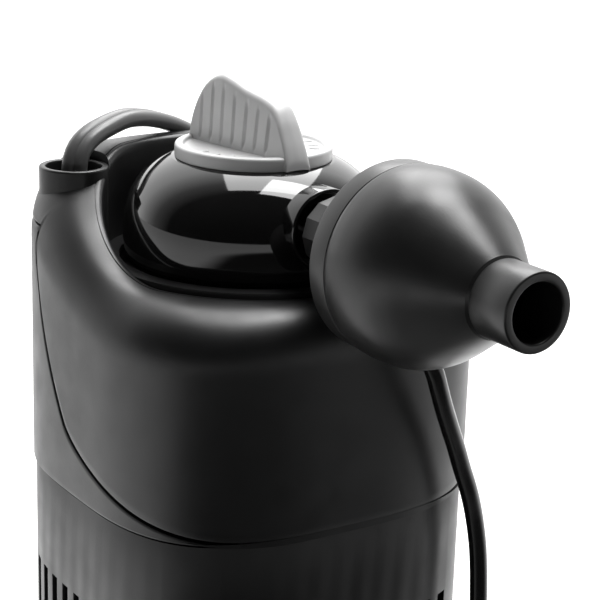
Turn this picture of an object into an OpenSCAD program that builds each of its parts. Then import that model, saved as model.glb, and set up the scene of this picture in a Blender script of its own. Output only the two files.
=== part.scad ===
// Internal aquarium power filter: a pump head with a swivelling outlet that lifts off a sponge container.
// +Z is up, the outlet points along -Y, and the origin is on the base, under the swivel axis.

/* [Body] */
// Width of the head and the container, along X
body_w = 79; // [74:1:84]
// Depth of the head and the container, along Y
body_d = 77; // [74:1:82]
// Squareness of the body's outline: 2 is an ellipse, more is squarer
squareness = 3.2; // [2.8:0.1:4]
// Wall of the casings and of the container
wall = 2.2; // [1.8:0.1:2.6]
// Height of the joint between the container and the head
split_z = 115; // [112:1:118]

/* [Outlet] */
// Height of the outlet's axis above the base
outlet_z = 172; // [170:1:176]
// Largest radius of the swivelling dome
dome_r = 25.5; // [24.5:0.1:25.5]
// Radius of the diffuser at its back plate
diffuser_r = 17.4; // [16:0.1:18]
// Radius of the hose spigot on the diffuser
spigot_r = 6.9; // [6.5:0.1:7.2]
// Radius of the bore through the spigot
spigot_bore_r = 5.2; // [4.5:0.1:5.4]

/* [Knob] */
// Radius of the knob's disc
knob_r = 15.5; // [14:0.1:16]
// Number of grooves on each side of the grip
groove_count = 7; // [5:1:8]

/* [Flex and hose] */
// Thickness of the supply flex as a plain tube
flex_d = 3.8; // [3.4:0.1:3.8]
// Outer diameter of the air hose
hose_d = 3.6; // [3.2:0.1:4]

/* [Hidden] */

black = [0.05, 0.05, 0.055];
dark = [0.12, 0.12, 0.13];
grey = [0.72, 0.72, 0.72];
steel = [0.7, 0.7, 0.72];
copper = [0.72, 0.4, 0.2];
foam = [0.16, 0.2, 0.3];
rubber = [0.08, 0.08, 0.08];
ceramic = [0.92, 0.9, 0.85];

ring_steps = 72;          // points round the body's outline
pit_r = 29.3;             // inside of the well that the dome stands in
crest_r = 31.2;           // radius of the rim's highest line
rim_front_z = outlet_z - 11.5;
rim_rise = 19.2;          // how far the rim climbs from the front to the back
rim_low_a = 65;           // the rim is level up to this angle from the front
rim_high_a = 153;         // and reaches its full height at this one
shoulder_h = 11;          // height of the rounded shoulder outside the rim
pit_floor_z = 157;        // lower edge of the well's wall
seam_y = 18.5;            // where the seam between the casings starts, under the collar
seam_z = outlet_z - 5;
collar_at = [-27.3, 23.7];
collar_r = 6.9;
collar_bore_r = 5.6;
collar_top_z = outlet_z + 5;
dome_mid_z = outlet_z - 5.5;
dome_h = 16.4;
dome_power = 2.5;
dome_base_z = 158.4;
disc_z = outlet_z + 8.6;  // underside of the knob's disc
disc_t = 3;
chamber_r = 21;
chamber_top_z = 165;
can_r = 13;
shaft_r = 1.5;
back_y = -46.1;           // back plane of the diffuser
part_y = -51;             // parting line between its back and its cone
tip_y = -86.4;
socket_r = 6.9;
tube_r = 5.2;
tube_bore_r = 4.1;
nipple_y = -42.3;
slot_w = 2.4;
fit_gap = 0.05;           // radial running clearance

function rim_ease(t) = t <= 0 ? 0 : t >= 1 ? 1 : t * t * (3 - 2 * t);
function from_front(a) = a > 180 ? 360 - a : a;
function rim_z(a) = rim_front_z
    + rim_rise * rim_ease((from_front(a) - rim_low_a) / (rim_high_a - rim_low_a));
// Radius of the body's outline at an angle a from the front, positive towards +X
function outline_r(a, inset = 0) =
    pow(pow(abs(sin(a)) / (body_w / 2), squareness) + pow(abs(cos(a)) / (body_d / 2), squareness),
        -1 / squareness) - inset;
function spot(a, r) = [r * sin(a), -r * cos(a)];
function outline(inset, steps = ring_steps) =
    [for (i = [0 : steps - 1]) let (a = 360 * i / steps) spot(a, outline_r(a, inset))];

module prism(inset, z0, z1) {
    translate([0, 0, z0]) linear_extrude(z1 - z0) polygon(outline(inset));
}
module tube(r_out, r_in, z0, z1) {
    translate([0, 0, z0]) difference() {
        cylinder(r = r_out, h = z1 - z0, $fn = 72);
        translate([0, 0, -1]) cylinder(r = r_in, h = z1 - z0 + 2, $fn = 72);
    }
}
module pipe_y(r_out, r_in, y0, y1, z = outlet_z, sides = 64) {
    translate([0, y0, z]) rotate([90, 0, 0]) difference() {
        cylinder(r = r_out, h = y0 - y1, $fn = sides);
        translate([0, 0, -1]) cylinder(r = r_in, h = y0 - y1 + 2, $fn = 64);
    }
}
module block(lo, hi) {
    translate(lo) cube(hi - lo);
}
// A closed skin through rings that all have the same number of points, joined round in a loop
module loop_skin(rings) {
    n = len(rings);
    m = len(rings[0]);
    polyhedron(
        points = [for (ring = rings) for (p = ring) p],
        faces = [for (i = [0 : n - 1]) for (j = [0 : m - 1]) each let (
            i2 = (i + 1) % n, j2 = (j + 1) % m,
            p = i * m + j, q = i * m + j2, r = i2 * m + j2, s = i2 * m + j
        ) [[p, r, q], [p, s, r]]],
        convexity = 8);
}
function unit(v) = v / norm(v);
function tangent(path, i) =
    unit(path[min(i + 1, len(path) - 1)] - path[max(i - 1, 0)]);
// A round tube swept along a path, closed at both ends
module sweep(path, d, sides = 8) {
    n = len(path);
    rings = [for (i = [0 : n - 1]) let (
        t = tangent(path, i),
        u = unit(cross(t, abs(t[2]) > 0.9 ? [0, 1, 0] : [0, 0, 1])),
        v = cross(t, u)
    ) [for (k = [0 : sides - 1]) path[i] + d / 2 * (cos(360 * k / sides) * u + sin(360 * k / sides) * v)]];
    // Each ring starts at the point nearest to the start of the one before, so that the tube doesn't twist
    starts = ring_starts(rings, sides);
    pts = [for (i = [0 : n - 1]) for (k = [0 : sides - 1]) rings[i][(k + starts[i]) % sides]];
    polyhedron(points = pts, faces = concat(
        [[for (k = [0 : sides - 1]) k]],
        [for (i = [0 : n - 2]) for (k = [0 : sides - 1]) each let (
            p = i * sides + k, q = i * sides + (k + 1) % sides
        ) [[p, p + sides, q], [q, p + sides, q + sides]]],
        [[for (k = [sides - 1 : -1 : 0]) (n - 1) * sides + k]]), convexity = 8);
}
function nearest(ring, p, k = 1, best = 0) = k >= len(ring) ? best
    : nearest(ring, p, k + 1, norm(ring[k] - p) < norm(ring[best] - p) ? k : best);
function ring_starts(rings, sides, i = 1, got = [0]) = i >= len(rings) ? got
    : ring_starts(rings, sides, i + 1,
        concat(got, [nearest(rings[i], rings[i - 1][got[i - 1]])]));

// One upright section of the casing: up the outside, over the shoulder and the rim, back down inside
function casing_section(a) = let (
    r = outline_r(a), top = rim_z(a), run = r - crest_r,
    outer = [for (u = [0 : 15 : 90])
        [crest_r + run * pow(cos(u), 0.8), top - shoulder_h + shoulder_h * pow(sin(u), 0.9)]],
    inner = [for (u = [90 : -18 : 0])
        [crest_r + 0.3 + (run - wall - 0.3) * pow(cos(u), 0.8),
            top - shoulder_h - wall + (shoulder_h - 0.6) * pow(sin(u), 0.9)]],
    flat = concat([[r, split_z]], outer,
        [[pit_r + 0.4, top - 0.9], [pit_r, top - 2.2], [pit_r, pit_floor_z], [crest_r, pit_floor_z]],
        inner, [[r - wall, split_z]])
) [for (p = flat) [p[0] * sin(a), -p[0] * cos(a), p[1]]];
module whole_casing() {
    loop_skin([for (i = [0 : ring_steps - 1]) casing_section(360 * i / ring_steps)]);
}
// The seam sweeps forward as it goes down: y falls with the square of the drop, and its foot
// turns forward into a level joint round the front
seam_foot = 36;
function seam_at(drop) = seam_y - 0.1 * drop - 0.0085 * drop * drop - 0.16 * pow(max(0, drop - seam_foot), 2);
module rear_zone(shift) {
    drop_end = seam_z - split_z + 1;
    side = concat(
        [for (k = [0 : 16]) let (drop = drop_end * k / 16) [seam_at(drop) + shift, seam_z - shift - drop]],
        [[body_d, split_z - 1], [body_d, seam_z - shift]]);
    difference() {
        translate([-body_w, 0, 0]) rotate([90, 0, 90]) linear_extrude(2 * body_w) polygon(side);
        // The well's wall belongs to the hood all the way round
        cylinder(r = crest_r + 1.6 + shift, h = outlet_z, $fn = 96);
    }
}
module collar_hole() {
    translate([collar_at[0], collar_at[1], 152]) cylinder(r = collar_r + fit_gap, h = 40, $fn = 48);
}

module hood_casing() {
    color(black) difference() {
        whole_casing();
        rear_zone(0);
        collar_hole();
    }
}
module rear_casing() {
    color(black) difference() {
        intersection() {
            whole_casing();
            rear_zone(0.4);
        }
        collar_hole();
        rail_screw_holes();
    }
}
module cable_collar() {
    color(dark) translate([collar_at[0], collar_at[1], 0]) {
        tube(collar_r, collar_bore_r, 154, collar_top_z);
    }
}
module cable_gland() {
    color(rubber) translate([collar_at[0], collar_at[1], 0]) {
        tube(collar_bore_r - 0.02, flex_d / 2 + 0.1, 156, outlet_z - 3);
    }
}
module casing_screws() {
    // Four self-tapping screws that hold the inlet plate up into the motor case
    color(steel) for (x = [-1, 1], y = [-1, 1]) translate([27 * x, 14 * y, 0]) {
        translate([0, 0, 119.2]) cylinder(r = 2.6, h = 1.8, $fn = 32);
        translate([0, 0, 121]) cylinder(r = 1.3, h = 6.2, $fn = 24);
    }
}
rail_z = [126, 160];
module rail_screw_holes() {
    for (z = [132, 154]) translate([0, 30, z]) rotate([-90, 0, 0]) cylinder(r = 1.4, h = 20, $fn = 24);
}
module bracket_rail() {
    y0 = body_d / 2 + 0.02;
    color(black) union() {
        block([-4, y0, rail_z[0]], [4, y0 + 2.4, rail_z[1]]);
        block([-7, y0 + 2.2, rail_z[0]], [7, y0 + 4, rail_z[1]]);
        for (z = [132, 154]) translate([0, y0 - 5, z]) rotate([-90, 0, 0])
            cylinder(r = 1.38, h = 6, $fn = 24);
    }
}

module container() {
    slot_z = [14, 96];
    slot_rows = [for (k = [-5 : 5]) k * 5];
    color(black) difference() {
        union() {
            difference() {
                prism(0.5, 0, split_z - 0.4);
                prism(0.5 + wall, 2.5, split_z + 1);
            }
            // Lip that stands up inside the head's skirt
            difference() {
                prism(0.5 + wall - 0.4, split_z - 6, split_z + 5);
                prism(0.5 + wall + 1.4, split_z - 7, split_z + 6);
            }
        }
        for (x = slot_rows) block([x - slot_w / 2, -body_d, slot_z[0]], [x + slot_w / 2, -20, slot_z[1]]);
        for (x = slot_rows) block([x - slot_w / 2, 20, slot_z[0]], [x + slot_w / 2, body_d, slot_z[1]]);
        for (y = slot_rows) block([-body_w, y - slot_w / 2, slot_z[0]], [-20, y + slot_w / 2, slot_z[1]]);
        for (y = slot_rows) block([20, y - slot_w / 2, slot_z[0]], [body_w, y + slot_w / 2, slot_z[1]]);
    }
}
module sponge() {
    color(foam) difference() {
        prism(5, 2.7, 104);
        translate([0, 0, 1]) cylinder(r = 8.9, h = 120, $fn = 64);
    }
}
module intake_tube() {
    color(dark) difference() {
        tube(8.5, 7, 2.52, 112);
        for (z = [14 : 10 : 94]) {
            translate([-20, 0, z]) rotate([0, 90, 0]) cylinder(r = 2.2, h = 40, $fn = 24);
            translate([0, -20, z + 5]) rotate([-90, 0, 0]) cylinder(r = 2.2, h = 40, $fn = 24);
        }
    }
}
module inlet_plate() {
    color(dark) difference() {
        union() {
            prism(wall + 0.15, 121, 123.5);
            translate([0, 0, 108]) cylinder(r = 10.8, h = 13.2, $fn = 72);
        }
        translate([0, 0, 100]) cylinder(r = 8.65, h = 20.9, $fn = 72);
        translate([0, 0, 119]) cylinder(r = 7, h = 6, $fn = 72);
        for (x = [-1, 1], y = [-1, 1]) translate([27 * x, 14 * y, 119]) cylinder(r = 1.35, h = 6, $fn = 24);
    }
}

module motor_case() {
    color(dark) difference() {
        union() {
            block([-32, -19, 126.2], [32, 19, 150]);
            // Feet that stand on the inlet plate
            for (x = [-1, 1], y = [-1, 1]) translate([27 * x, 14 * y, 123.52])
                cylinder(r = 3.4, h = 4, $fn = 32);
        }
        block([-30, -17, 128.2], [30, 17, 151]);
        for (x = [-1, 1], y = [-1, 1]) translate([27 * x, 14 * y, 120]) cylinder(r = 1.32, h = 7.3, $fn = 24);
    }
}
module motor_lid() {
    color(dark) difference() {
        block([-32, -19, 150.02], [32, 19, 152.4]);
        translate([0, 0, 149]) cylinder(r = can_r + fit_gap, h = 5, $fn = 72);
    }
}
module stator_core() {
    color(steel) difference() {
        union() {
            block([-29, -9, 134], [29, 9, 147]);
            translate([0, 0, 134]) cylinder(r = 16.5, h = 13, $fn = 72);
        }
        translate([0, 0, 130]) cylinder(r = can_r + 0.2, h = 20, $fn = 72);
    }
}
module stator_coils() {
    color(copper) for (s = [-1, 1]) translate([22 * s, 0, 140.5]) difference() {
        cube([11, 30, 18.4], center = true);
        cube([12, 18.2, 13.2], center = true);
    }
}
module rotor_can() {
    color(dark) difference() {
        union() {
            translate([0, 0, 130]) cylinder(r = can_r, h = 23, $fn = 72);
            translate([0, 0, 152.42]) cylinder(r = 16.4, h = 1.5, $fn = 72);
        }
        translate([0, 0, 131.5]) cylinder(r = 11.6, h = 30, $fn = 72);
    }
}
module rotor_shaft() {
    color(ceramic) translate([0, 0, 132]) cylinder(r = shaft_r, h = 33.4, $fn = 48);
}
module lower_bush() {
    color(rubber) tube(4, shaft_r, 131.52, 133.4);
}
module upper_bush() {
    color(rubber) tube(3, shaft_r, 163.2, 165.6);
}
module rotor_magnet() {
    color([0.2, 0.2, 0.22]) tube(10, shaft_r + fit_gap, 134, 151);
}
module impeller() {
    color(ceramic) difference() {
        union() {
            translate([0, 0, 151.02]) cylinder(r = 4.5, h = 11, $fn = 48);
            translate([0, 0, 157.2]) cylinder(r = 14, h = 1.2, $fn = 72);
            for (k = [0 : 5]) rotate([0, 0, 60 * k]) block([3, -0.6, 158], [14, 0.6, 162]);
        }
        translate([0, 0, 150]) cylinder(r = shaft_r + fit_gap, h = 14, $fn = 48);
    }
}
module pump_seat() {
    color(dark) difference() {
        union() {
            translate([0, 0, 153.95]) cylinder(r = 31.1, h = 2.2, $fn = 96);
            tube(pit_r - 0.02, 27, 156, pit_floor_z + 1);
        }
        translate([0, 0, 150]) cylinder(r = 9, h = 12, $fn = 72);
        for (k = [0 : 11]) rotate([0, 0, 30 * k]) translate([18.2, 0, 150])
            cylinder(r = 1.8, h = 12, $fn = 24);
        // Corner notch that lets the cable collar pass
        collar_hole();
    }
}
module impeller_chamber() {
    color(dark) difference() {
        translate([0, 0, 156.17]) cylinder(r = chamber_r, h = chamber_top_z - 156.17, $fn = 96);
        translate([0, 0, 155]) cylinder(r = chamber_r - 1.5, h = chamber_top_z - 156.5, $fn = 96);
        translate([0, 0, 155]) cylinder(r = 3, h = 12, $fn = 48);
        for (k = [0 : 5]) rotate([0, 0, 60 * k]) translate([9, 0, 160]) cylinder(r = 3, h = 8, $fn = 32);
        for (k = [0 : 7]) rotate([0, 0, 45 * k]) translate([16, 0, 160]) cylinder(r = 2, h = 8, $fn = 32);
    }
}
module swivel_retainer() {
    color(black) difference() {
        tube(pit_r - 0.03, 26.2, 160.1, 161.3);
        collar_hole();
    }
}
module swivel_seal() {
    color(rubber) translate([0, 0, 160.4]) rotate_extrude($fn = 96)
        translate([chamber_r + 1.02, 0]) circle(r = 1, $fn = 24);
}

function dome_at(z, shrink) = let (t = min(1, abs(z - dome_mid_z) / (dome_h - shrink)))
    (dome_r - shrink) * pow(max(0, 1 - pow(t, dome_power)), 1 / dome_power);
dome_top_z = disc_z - 0.2;
module dome_profile(shrink, top) {
    z0 = dome_base_z - 1;
    polygon(concat([[0, z0]],
        [for (k = [0 : 14]) let (z = z0 + (top - z0) * sin(90 * k / 14)) [dome_at(z, shrink), z]],
        [[0, top]]));
}
module outlet_bore(r) {
    translate([0, -18, outlet_z]) rotate([90, 0, 0]) cylinder(r = r, h = 30, $fn = 64);
}
module swivel_dome() {
    color(black) difference() {
        union() {
            rotate_extrude($fn = 96) intersection() {
                dome_profile(0, dome_top_z);
                translate([0, dome_base_z]) square([40, 40]);
            }
            // Flange held down by the retaining ring
            translate([0, 0, dome_base_z]) cylinder(r = 27.6, h = 1.5, $fn = 96);
            // Boss round the outlet
            pipe_y(7.8, 5.3, -20, -26.6);
        }
        rotate_extrude($fn = 96) dome_profile(1.9, dome_top_z - 1.9);
        translate([0, 0, dome_base_z - 2]) cylinder(r = chamber_r + 2.1, h = 5.4, $fn = 96);
        outlet_bore(tube_r + 0.02);
        translate([0, 0, 170]) cylinder(r = 4.1, h = 20, $fn = 48);
    }
}
module outlet_tube() {
    color(black) difference() {
        pipe_y(tube_r, tube_bore_r, -22.5, -44);
        translate([0, -30, outlet_z]) rotate([90, 0, 0]) difference() {
            cylinder(r = 6, h = 1.2, $fn = 64);
            cylinder(r = 4.75, h = 1.2, $fn = 64);
        }
    }
}
module outlet_seal() {
    color(rubber) translate([0, -30.6, outlet_z]) rotate([90, 0, 0]) rotate_extrude($fn = 64)
        translate([4.98, 0]) square([0.44, 1], center = true);
}

// Outline of the grip seen from the side, as y and height over the outlet's axis
grip_side = [[-14.6, 9], [-13.9, 12.5], [-12.9, 17], [-11.6, 20.2], [-9.6, 21.9], [-6.4, 21.9],
    [-1.6, 22.6], [1.6, 23.7], [4.4, 24.1], [7, 22.3], [9.7, 18.8], [11.5, 15.6], [12.5, 11.6], [12.3, 9]];
grip_rear_half = 7.4;
grip_front_half = 3.5;
module flow_knob() {
    color(grey) difference() {
        union() {
            translate([0, 0, disc_z]) cylinder(r = knob_r, h = disc_t - 0.7, $fn = 96);
            tube(knob_r, knob_r - 1.5, disc_z, disc_z + disc_t);
            intersection() {
                translate([20, 0, outlet_z]) rotate([90, 0, -90]) linear_extrude(40)
                    polygon([for (p = grip_side) [-p[0], p[1]]]);
                translate([0, 0, outlet_z]) linear_extrude(40) polygon([
                    [-grip_front_half, -16], [grip_front_half, -16],
                    [grip_rear_half, 13], [-grip_rear_half, 13]]);
            }
            // Stem down through the dome
            translate([0, 0, outlet_z - 1]) cylinder(r = 4, h = 10, $fn = 48);
        }
        for (s = [-1, 1], k = [0 : groove_count - 1]) let (
            y = 9.6 - 3.2 * k,
            x = grip_front_half + (grip_rear_half - grip_front_half) * (y + 15) / 28
        ) translate([s * (x + 0.35), y, disc_z + disc_t + 0.4])
            cylinder(r = 0.65, h = 9.2 - 0.25 * k, $fn = 24);
        translate([0, 0, outlet_z + 4.4]) difference() {
            cylinder(r = 5, h = 1.4, $fn = 48);
            cylinder(r = 3.4, h = 1.4, $fn = 48);
        }
    }
}
module knob_seal() {
    color(rubber) translate([0, 0, outlet_z + 5.1]) rotate_extrude($fn = 48)
        translate([3.72, 0]) square([0.6, 1.2], center = true);
}
module flow_shutter() {
    // A drum under the stem whose window faces the outlet
    color(dark) difference() {
        union() {
            tube(19, 17.6, outlet_z - 4.6, outlet_z + 2.4);
            translate([0, 0, outlet_z - 2.6]) cylinder(r = 18, h = 1.4, $fn = 72);
        }
        block([-6, -25, outlet_z - 8], [6, -10, outlet_z + 8]);
        for (k = [0 : 5]) rotate([0, 0, 60 * k + 30]) translate([11, 0, outlet_z - 4])
            cylinder(r = 4, h = 4, $fn = 32);
    }
}

module diffuser_back() {
    color(black) union() {
        pipe_y(diffuser_r, tube_r + 0.25, back_y, back_y - 1.6);
        pipe_y(diffuser_r, diffuser_r - 1.8, back_y - 1.5, part_y);
        // Faceted socket that pushes over the outlet tube
        pipe_y(socket_r, tube_r + 0.25, -28, back_y - 0.5, sides = 12);
    }
}
cone_len = 25.7;
// Radius of the diffuser's shell at each step from the parting line to the spigot
cone_curve = [[0, 17.5], [3.5, 17.75], [7.5, 17.5], [11, 16.6], [14.5, 14.9], [18, 12.6],
    [21.5, 10.2], [24.2, 8.3], [cone_len, 7.2]];
module diffuser_cone() {
    inner = [for (k = [len(cone_curve) - 1 : -1 : 0]) [cone_curve[k][1] - 1.8, cone_curve[k][0] - 0.3]];
    color(black) translate([0, part_y - 0.02, outlet_z]) rotate([90, 0, 0]) rotate_extrude($fn = 96)
        polygon(concat(
            [for (p = cone_curve) [p[1], p[0]]],
            [[spigot_r, cone_len], [spigot_r, part_y - tip_y], [spigot_bore_r, part_y - tip_y],
                [spigot_bore_r, cone_len - 0.7]],
            [for (p = inner) [max(p[0], spigot_bore_r), max(p[1], 0)]]));
}
module air_nipple() {
    color(black) translate([0, nipple_y, 0]) difference() {
        union() {
            translate([0, 0, outlet_z - 9]) cylinder(r = hose_d / 2, h = 2.6, $fn = 32);
            translate([0, 0, outlet_z - 12]) cylinder(r = 1.1, h = 4, $fn = 32);
        }
        translate([0, 0, outlet_z - 13]) cylinder(r = 0.6, h = 8, $fn = 24);
    }
}

module bracket() {
    y0 = body_d / 2;
    color(black) difference() {
        union() {
            block([-21, y0 + 4.6, 122], [21, y0 + 7.2, 166]);
            for (s = [0, 1]) mirror([s, 0, 0]) {
                block([7.5, y0 + 0.9, 124], [10.5, y0 + 5, 164]);
                block([4.6, y0 + 0.5, 124], [8, y0 + 1.7, 164]);
            }
        }
        for (x = [-cup_x, cup_x], z = [133, 155]) translate([x, y0, z]) rotate([-90, 0, 0]) {
            translate([0, 0, 4]) cylinder(r = 2.52, h = 5, $fn = 32);
            translate([0, 0, 3.4]) cylinder(r = button_r + 0.15, h = 1.3, $fn = 48);
        }
    }
}
button_r = 3.6;             // the cup's button, which sits in a pocket behind the plate
cup_section = [[0, -3.6], [button_r, -3.6], [button_r, -2.8], [2.5, -2.6], [2.5, 0.1], [4.6, 0.3], [6.6, 1.6],
    [9, 5.2], [9.5, 7.2], [8.6, 7.2], [5.8, 3.8], [0, 2.9]];
cup_x = 12;                 // half the distance between the two columns of cups
module suction_cups() {
    color([0.55, 0.57, 0.58, 0.8]) for (x = [-cup_x, cup_x], z = [133, 155])
        translate([x, body_d / 2 + 7.25, z]) rotate([-90, 0, 0])
            rotate_extrude($fn = 48) polygon(cup_section);
}

// Routes of the free flex and hose, in their own round numbers
flex_route = [[-27.3, 23.7, 169], [-27.2, 23.7, 176], [-26.1, 24.1, 179.6], [-23.1, 25.3, 182],
    [-18.5, 27.2, 183.4], [-13, 29.6, 184.2], [-7.6, 32.2, 183.6], [-2.2, 34.8, 182.2], [3.2, 37.2, 180.2],
    [8.4, 39.2, 177.6], [13.8, 40.3, 173.8], [19.4, 40.6, 168.6], [24.6, 40.5, 162.2], [28.4, 40.3, 154.4],
    [30.8, 39.8, 145.4], [31.8, 39.1, 136], [32, 38.5, 126], [32, 38.4, 114], [32, 38.4, 102],
    [32, 38.4, 90], [32, 38.6, 78], [32, 38.8, 66], [32, 39.2, 54], [31.8, 39.8, 42], [31, 40.6, 31],
    [28.8, 41.8, 21], [24.8, 43.2, 12.8], [19.2, 44.6, 6.8], [12.6, 45.6, 3.4], [5.4, 46.2, 2],
    [-2, 46.3, 1.9]];
flex_coil_at = [-2, 80];
flex_tail_route = [[6, 109.4, 12.4], [18, 106.4, 12.4], [29, 101.6, 11.6], [38.6, 95, 9.4], [46.4, 86.8, 7.4],
    [51.6, 78.4, 6.6], [53.6, 71, 6.8], [54, 64, 6.9]];
plug_at = [54, 66, 0];
plug_turn = 180;
plug_t = 13.8;
hose_route = [[0, nipple_y, 163], [1.2, -42.8, 160.2], [3.8, -43.7, 157.6], [7, -44.4, 155],
    [9.8, -45.2, 151.8],
    [12, -45.4, 148], [13.8, -44.9, 144], [15.8, -44.1, 139.8], [18.2, -43.2, 135.2], [20.8, -42.2, 130.4],
    [23.2, -41.4, 125.4], [25.8, -40.8, 119.8], [28.2, -40, 113.6], [30, -39.6, 106], [31, -39.4, 97],
    [31.4, -39.4, 87],
    [31.6, -39.6, 77], [31.8, -39.8, 67], [32, -40.2, 57], [32.2, -40.8, 47], [32.8, -41.8, 37],
    [34, -43.4, 27.8], [35.8, -46, 19.4], [37.6, -49.8, 11.8], [39, -54.8, 6], [39.5, -61, 2.8],
    [39.6, -67, 1.9]];
hose_coil_at = [18, -67];
hose_tail_route = [[10.6, -87.3, 5.5], [6.8, -85.9, 5.5], [2.6, -84.4, 5.2], [-1.6, -82.9, 4.4],
    [-5.8, -81.4, 3.7],
    [-10, -79.9, 3.6]];
cap_at = [-8.2, -80.5, 3.6];
cap_turn = -110;
module coil(at, mid_r, half_w, h) {
    translate([at[0], at[1], 0]) rotate_extrude($fn = 72)
        translate([mid_r, 0]) polygon([[-half_w, 0.6], [-half_w + 1.2, 0], [half_w - 1.2, 0], [half_w, 0.6],
            [half_w, h - 1.5], [half_w - 1.5, h], [-half_w + 1.5, h], [-half_w, h - 1.5]]);
}
module supply_flex() {
    color(black) sweep(flex_route, flex_d);
}
module supply_flex_coil() {
    color(black) coil(flex_coil_at, 28.5, 7.6, 15.4);
}
module supply_flex_tail() {
    color(black) sweep(flex_tail_route, flex_d);
}
module plug_body() {
    // Flat two-pin plug, lying on its wide face with the pins pointing away from the coil
    color(black) translate(plug_at) rotate([0, 0, plug_turn]) linear_extrude(plug_t)
        offset(r = 1.8, $fn = 24)
            polygon([[-4, -4], [4, -4], [14.5, 13], [14.5, 32], [-14.5, 32], [-14.5, 13]]);
}
module plug_pins() {
    color(steel) translate(plug_at) rotate([0, 0, plug_turn]) for (x = [-9.3, 9.3])
        translate([x, 33.82, plug_t / 2]) rotate([-90, 0, 0]) cylinder(r = 2, h = 19, $fn = 32);
}
module air_hose() {
    color(dark) sweep(hose_route, hose_d);
}
module air_hose_coil() {
    color(dark) coil(hose_coil_at, 19.8, 3.6, 7.2);
}
module air_hose_tail() {
    color(dark) sweep(hose_tail_route, hose_d);
}
module air_intake_cap() {
    // Slotted cap on the hose's open end that lets air in and keeps dirt out
    color(grey) translate(cap_at) rotate([90, 0, cap_turn]) difference() {
        cylinder(r = 3.6, h = 9, $fn = 32);
        for (k = [0 : 3]) rotate([0, 0, 45 * k]) translate([-5, -0.5, 5.5]) cube([10, 1, 6]);
    }
}

container();
sponge();
intake_tube();
inlet_plate();
hood_casing();
rear_casing();
cable_collar();
cable_gland();
casing_screws();
bracket_rail();
motor_case();
motor_lid();
stator_core();
stator_coils();
rotor_can();
rotor_shaft();
lower_bush();
upper_bush();
pump_seat();
impeller_chamber();
swivel_retainer();
swivel_seal();
rotor_magnet();
impeller();
swivel_dome();
outlet_tube();
outlet_seal();
flow_knob();
knob_seal();
flow_shutter();
diffuser_back();
diffuser_cone();
air_nipple();
air_hose();
air_hose_coil();
air_hose_tail();
air_intake_cap();
bracket();
suction_cups();
supply_flex();
supply_flex_coil();
supply_flex_tail();
plug_body();
plug_pins();
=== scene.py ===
"""Looks for an internal aquarium filter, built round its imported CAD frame. Sizes are in millimetres."""

import math

import bmesh
import bpy
from mathutils import Matrix, Vector, noise


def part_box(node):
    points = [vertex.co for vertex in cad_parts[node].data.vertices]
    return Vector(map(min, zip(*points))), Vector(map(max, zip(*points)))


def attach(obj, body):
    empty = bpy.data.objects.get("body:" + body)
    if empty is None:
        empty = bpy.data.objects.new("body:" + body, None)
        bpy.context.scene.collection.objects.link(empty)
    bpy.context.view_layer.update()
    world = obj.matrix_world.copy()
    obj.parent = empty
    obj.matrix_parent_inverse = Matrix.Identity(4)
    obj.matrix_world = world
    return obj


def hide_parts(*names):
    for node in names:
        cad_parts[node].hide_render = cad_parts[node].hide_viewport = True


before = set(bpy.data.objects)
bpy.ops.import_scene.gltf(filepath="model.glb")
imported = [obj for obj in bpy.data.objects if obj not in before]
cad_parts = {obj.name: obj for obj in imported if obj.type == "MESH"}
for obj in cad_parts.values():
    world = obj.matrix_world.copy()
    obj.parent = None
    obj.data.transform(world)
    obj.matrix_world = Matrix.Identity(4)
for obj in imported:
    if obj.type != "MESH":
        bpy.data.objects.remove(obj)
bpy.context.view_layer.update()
MM = 0.001


# ---------------------------------------------------------------- sizes, read from the frame

def span(node, axis):
    """Lowest and highest coordinate of a CAD node along an axis, in millimetres."""
    low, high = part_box(node)
    return low[axis] / MM, high[axis] / MM


BODY_X = span("hood_casing", 0)[1]
BODY_Y = -span("hood_casing", 1)[0]
SPLIT_Z = span("hood_casing", 2)[0]
OUTLET_Z = sum(span("diffuser_cone", 2)) / 2
DIFFUSER_R = span("diffuser_back", 0)[1]
SOCKET_Y = span("diffuser_back", 1)[1]
TIP_Y = span("diffuser_cone", 1)[0]
PART_Y = span("diffuser_cone", 1)[1]
KNOB_R = span("flow_knob", 0)[1]
KNOB_TALL = 15.5
DISC_Z = span("flow_knob", 2)[1] - KNOB_TALL
COLLAR_Z = span("cable_collar", 2)
COLLAR_AT = tuple(sum(span("cable_collar", axis)) / 2 for axis in (0, 1))
COLLAR_R = (span("cable_collar", 0)[1] - span("cable_collar", 0)[0]) / 2

# The body's outline is a rounded square: 2 would be an ellipse, and more is squarer
SQUARENESS = 3.2
WALL = 2.2

# The pit that the dome stands in, and the rim round it, which is higher at the back
PIT_R = 29.3
CREST_R = 31.2
PIT_FLOOR_Z = 157
RIM_FRONT_Z = OUTLET_Z - 11.5
RIM_RISE = 19.2
RIM_LOW, RIM_HIGH = math.radians(65), math.radians(153)
SHOULDER_H = 11

# The seam between the casings starts up at the side of the rim and sweeps forward as it drops
SEAM_Y = 18.5
SEAM_Z = OUTLET_Z - 5
SEAM_GAP = 0.4
SEAM_FOOT = 36

DOME_MID_Z = OUTLET_Z - 5.5
DOME_R, DOME_H, DOME_POWER = 25.5, 16.8, 2.5
DOME_BASE_Z = 158.4

DIFFUSER_BACK = 46.1
DIFFUSER_WALL = 1.8
SOCKET_BORE_R = 5.45
SPIGOT_R, SPIGOT_BORE_R = 6.9, 5.2

FLEX_WIDTH, FLEX_THICK = 5.2, 3.4
HOSE_D = 3.6


# ---------------------------------------------------------------- shapes that the pieces share

def smooth_step(t):
    """Eases from 0 to 1 while t goes from 0 to 1."""
    t = min(1.0, max(0.0, t))
    return t * t * (3 - 2 * t)


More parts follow.
